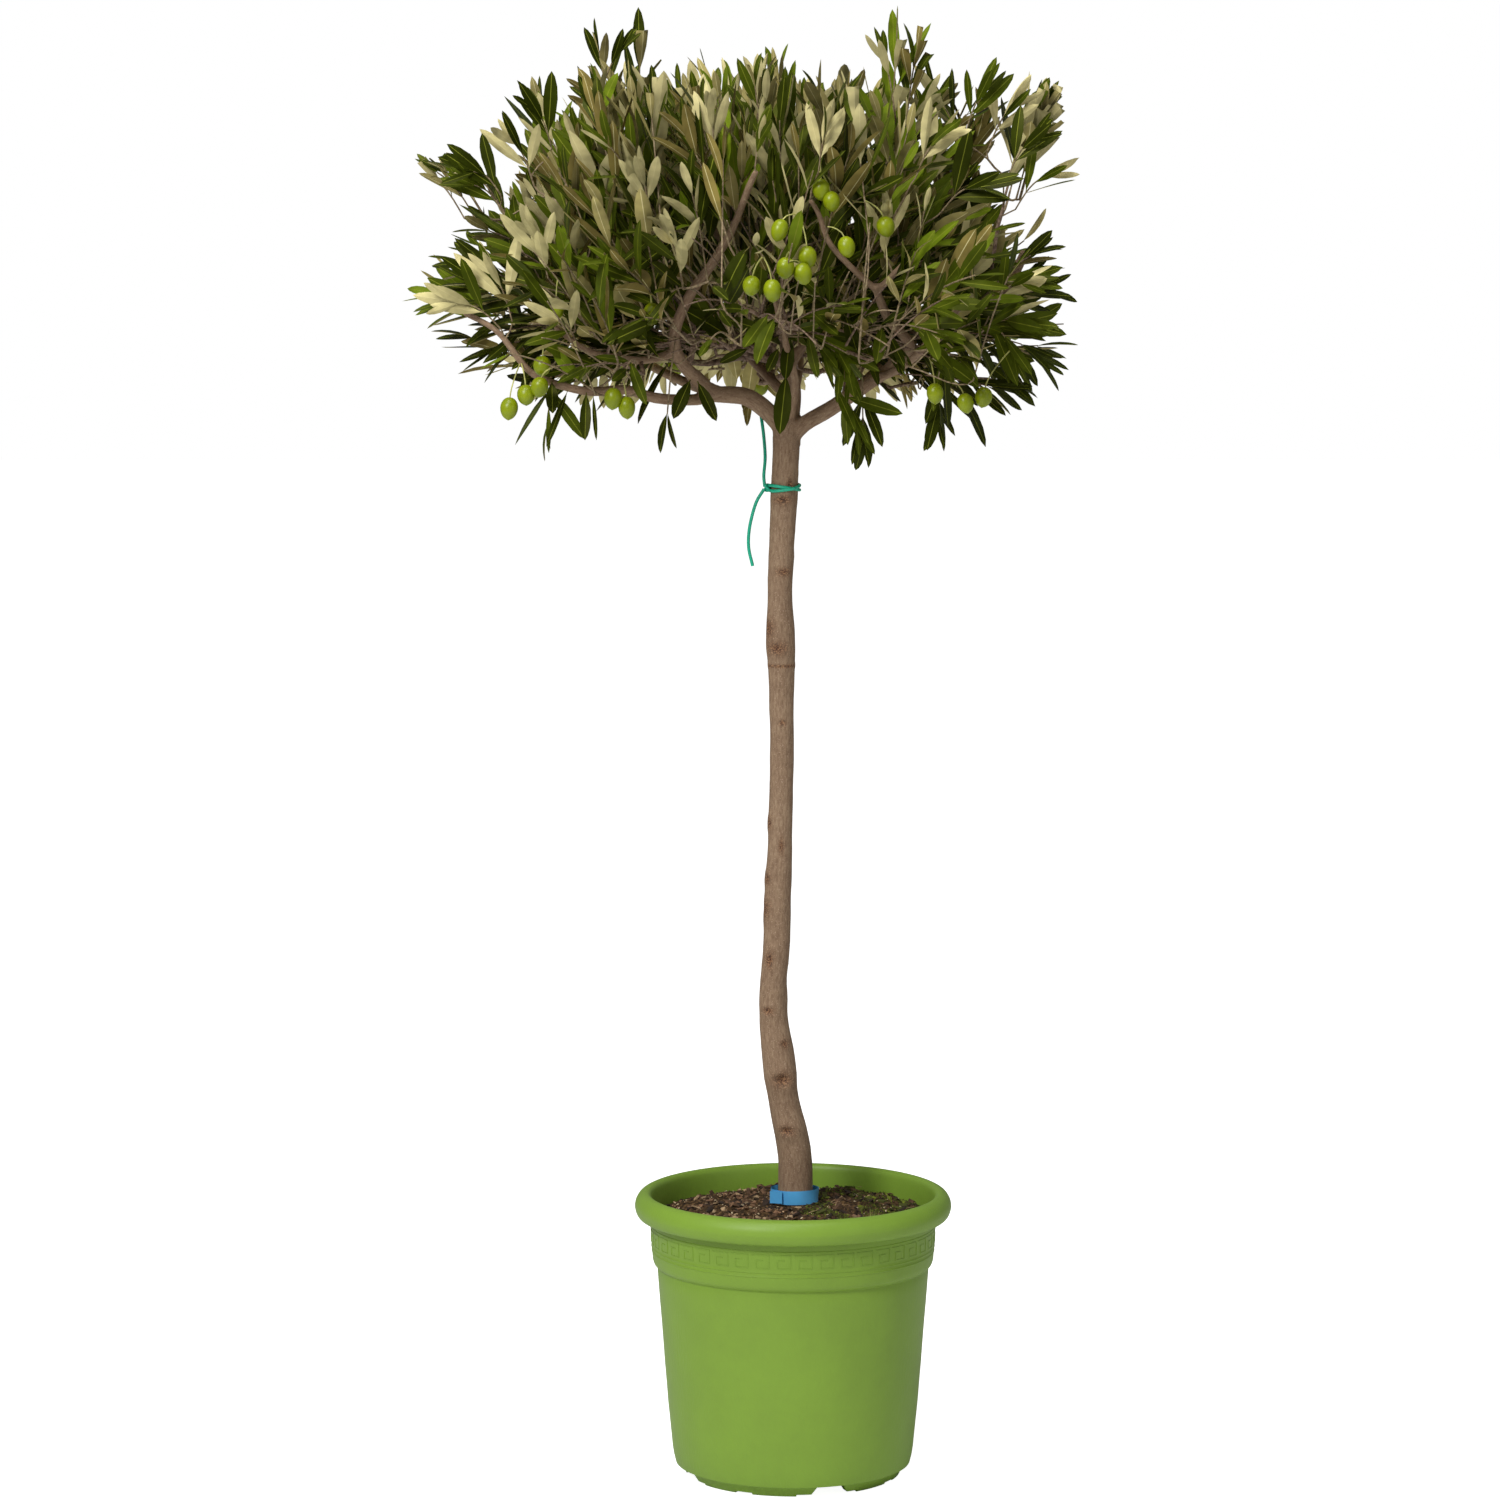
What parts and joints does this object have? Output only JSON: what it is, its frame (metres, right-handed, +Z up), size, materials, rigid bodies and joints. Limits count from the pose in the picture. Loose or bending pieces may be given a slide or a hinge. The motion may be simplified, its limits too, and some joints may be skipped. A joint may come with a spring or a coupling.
{
  "type": "potted standard olive tree",
  "caption": "Standard olive tree with a bare bowed stem and a wide clipped crown of narrow leaves and green fruit, in a tapered plastic nursery pot with a rolled rim.",
  "frame": {"origin": "middle of the pot's flat underside", "axes": "+Z up the stem; -Y is the front, the side seen first; +X is to the viewer's right"},
  "size_m": [0.6086, 0.6088, 1.3261],
  "materials": {
    "pot": "lime green moulded plastic, satin",
    "compost": "dark potting compost with bark chips, dull",
    "bark": "smooth young bark, grey brown",
    "leaves": "leathery leaves, dark green above and silver beige beneath",
    "twine": "green tying twine, slight sheen",
    "label": "light blue label tape, plain"
  },
  "bodies": {
    "root": {"pot": "pot", "compost": "compost", "trunk": "bark", "bough_left": "bark", "bough_left_front": "bark", "bough_left_low": "bark", "bough_left_back": "bark", "bough_right": "bark", "bough_right_front": "bark", "bough_right_back": "bark", "bough_centre": "bark", "bough_back": "bark", "bough_back_left": "bark", "bough_front": "bark", "leaves_top": "leaves", "leaves_heart": "leaves", "leaves_side_1": "leaves", "leaves_side_2": "leaves", "leaves_side_3": "leaves", "leaves_side_4": "leaves", "leaves_side_5": "leaves", "leaves_side_6": "leaves", "leaves_side_7": "leaves", "leaves_side_8": "leaves", "leaves_shoulder_1": "leaves", "leaves_shoulder_2": "leaves", "leaves_shoulder_3": "leaves", "leaves_shoulder_4": "leaves", "leaves_shoulder_5": "leaves", "sprig_top_left": "leaves", "sprig_top_right": "leaves", "sprig_shoulder_right": "leaves", "sprig_shoulder_left": "leaves", "tuft_front_right": "leaves", "tuft_front_left": "leaves", "tuft_right": "leaves", "tuft_left": "leaves", "tuft_back": "leaves", "tie_loop": "twine", "tie_knot": "twine", "tie_tail_up": "twine", "tie_tail_down": "twine", "label_band": "label"}
  },
  "joints": []
}
